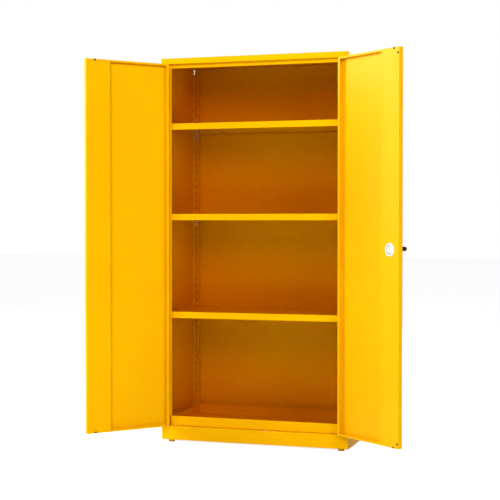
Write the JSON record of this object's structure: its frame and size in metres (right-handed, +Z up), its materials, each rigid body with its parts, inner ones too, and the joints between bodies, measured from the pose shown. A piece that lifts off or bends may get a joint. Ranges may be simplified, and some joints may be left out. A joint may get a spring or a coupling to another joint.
{
  "type": "flammable storage cabinet",
  "caption": "Tall folded-steel cabinet with two hinged pan doors, a T-handle driving locking rods, adjustable shelves on slotted uprights, and a sump tray in the base.",
  "frame": {"origin": "centre of the back panel's outer face, half way up the cabinet", "axes": "+X towards the cabinet's right seen from the front, +Y out of the back, +Z up; the doors face -Y"},
  "size_m": [1.4721, 0.8003, 1.83],
  "materials": {
    "yellow_paint": "semi-gloss powder coat",
    "zinc_plate": "bright zinc plate",
    "hinge_steel": "painted with the cabinet",
    "lock_steel": "nickel plate",
    "black_rubber": "matt",
    "black_plastic": "fine texture",
    "white_plastic": "moulded"
  },
  "bodies": {
    "cabinet": {"right_side_panel": "yellow_paint", "left_side_panel": "yellow_paint", "back_panel": "yellow_paint", "top_panel": "yellow_paint", "header_rail": "yellow_paint", "plinth_front": "yellow_paint", "plinth_rear": "yellow_paint", "base_panel": "yellow_paint", "sump_tray": "yellow_paint", "right_front_foot": "yellow_paint", "left_front_foot": "yellow_paint", "right_rear_foot": "yellow_paint", "left_rear_foot": "yellow_paint", "right_rear_upright": "yellow_paint", "left_rear_upright": "yellow_paint", "right_front_upright": "yellow_paint", "left_front_upright": "yellow_paint", "right_rear_clip_lower": "zinc_plate", "right_front_clip_lower": "zinc_plate", "left_rear_clip_lower": "zinc_plate", "left_front_clip_lower": "zinc_plate", "right_rear_clip_middle": "zinc_plate", "right_front_clip_middle": "zinc_plate", "left_rear_clip_middle": "zinc_plate", "left_front_clip_middle": "zinc_plate", "right_rear_clip_upper": "zinc_plate", "right_front_clip_upper": "zinc_plate", "left_rear_clip_upper": "zinc_plate", "left_front_clip_upper": "zinc_plate", "right_frame_hinge_upper": "hinge_steel", "right_frame_hinge_middle": "hinge_steel", "right_frame_hinge_lower": "hinge_steel", "left_frame_hinge_upper": "hinge_steel", "left_frame_hinge_middle": "hinge_steel", "left_frame_hinge_lower": "hinge_steel"},
    "left_door": {"left_door_panel": "yellow_paint", "left_door_channel": "yellow_paint", "left_door_top_buffer": "black_rubber", "left_door_bottom_buffer": "black_rubber", "left_door_hinge_upper": "hinge_steel", "left_door_hinge_middle": "hinge_steel", "left_door_hinge_lower": "hinge_steel"},
    "right_door": {"right_door_panel": "yellow_paint", "right_door_channel": "yellow_paint", "right_door_top_buffer": "black_rubber", "right_door_bottom_buffer": "black_rubber", "meeting_edge_upper_buffer": "black_rubber", "meeting_edge_lower_buffer": "black_rubber", "lock_cover": "white_plastic", "right_door_hinge_upper": "hinge_steel", "right_door_hinge_middle": "hinge_steel", "right_door_hinge_lower": "hinge_steel"},
    "handle": {"handle": "black_plastic", "lock_cam": "zinc_plate"},
    "lock_cylinder": {"lock_cylinder": "lock_steel"},
    "upper_lock_rod": {"upper_lock_rod": "zinc_plate"},
    "lower_lock_rod": {"lower_lock_rod": "zinc_plate"},
    "lower_shelf": {"lower_shelf": "yellow_paint"},
    "middle_shelf": {"middle_shelf": "yellow_paint"},
    "upper_shelf": {"upper_shelf": "yellow_paint"}
  },
  "joints": [
    {"name": "left_door_hinge", "type": "hinge", "parent": "cabinet", "child": "left_door", "pos_m": [-0.428, -0.461, 0], "axis": [0, 0, 1], "range_deg": [-39, 131]},
    {"name": "right_door_hinge", "type": "hinge", "parent": "cabinet", "child": "right_door", "pos_m": [0.428, -0.461, 0], "axis": [0, 0, 1], "range_deg": [-141.2, 28.8]},
    {"name": "handle_turn", "type": "hinge", "parent": "right_door", "child": "handle", "pos_m": [0.7119, -0.69439, 0.023], "axis": [0.6266, 0.7793, 0], "range_deg": [0, 90]},
    {"name": "lock_cylinder_turn", "type": "hinge", "parent": "handle", "child": "lock_cylinder", "pos_m": [0.73634, -0.664, 0.023], "axis": [0.6266, 0.7793, 0], "range_deg": [0, 90]},
    {"name": "upper_rod_slide", "type": "slide", "parent": "right_door", "child": "upper_lock_rod", "axis": [0, 0, 1], "range_m": [0, 0.018]},
    {"name": "lower_rod_slide", "type": "slide", "parent": "right_door", "child": "lower_lock_rod", "axis": [0, 0, -1], "range_m": [0, 0.018]},
    {"name": "lower_shelf_lift", "type": "slide", "parent": "cabinet", "child": "lower_shelf", "axis": [0, 0, 1], "range_m": [0, 0.03]},
    {"name": "middle_shelf_lift", "type": "slide", "parent": "cabinet", "child": "middle_shelf", "axis": [0, 0, 1], "range_m": [0, 0.03]},
    {"name": "upper_shelf_lift", "type": "slide", "parent": "cabinet", "child": "upper_shelf", "axis": [0, 0, 1], "range_m": [0, 0.03]}
  ],
  "couplings": [
    {"joint": "handle_turn", "follows": "upper_rod_slide", "rad_per_m": 87.26},
    {"joint": "lower_rod_slide", "follows": "upper_rod_slide", "ratio": 1}
  ]
}
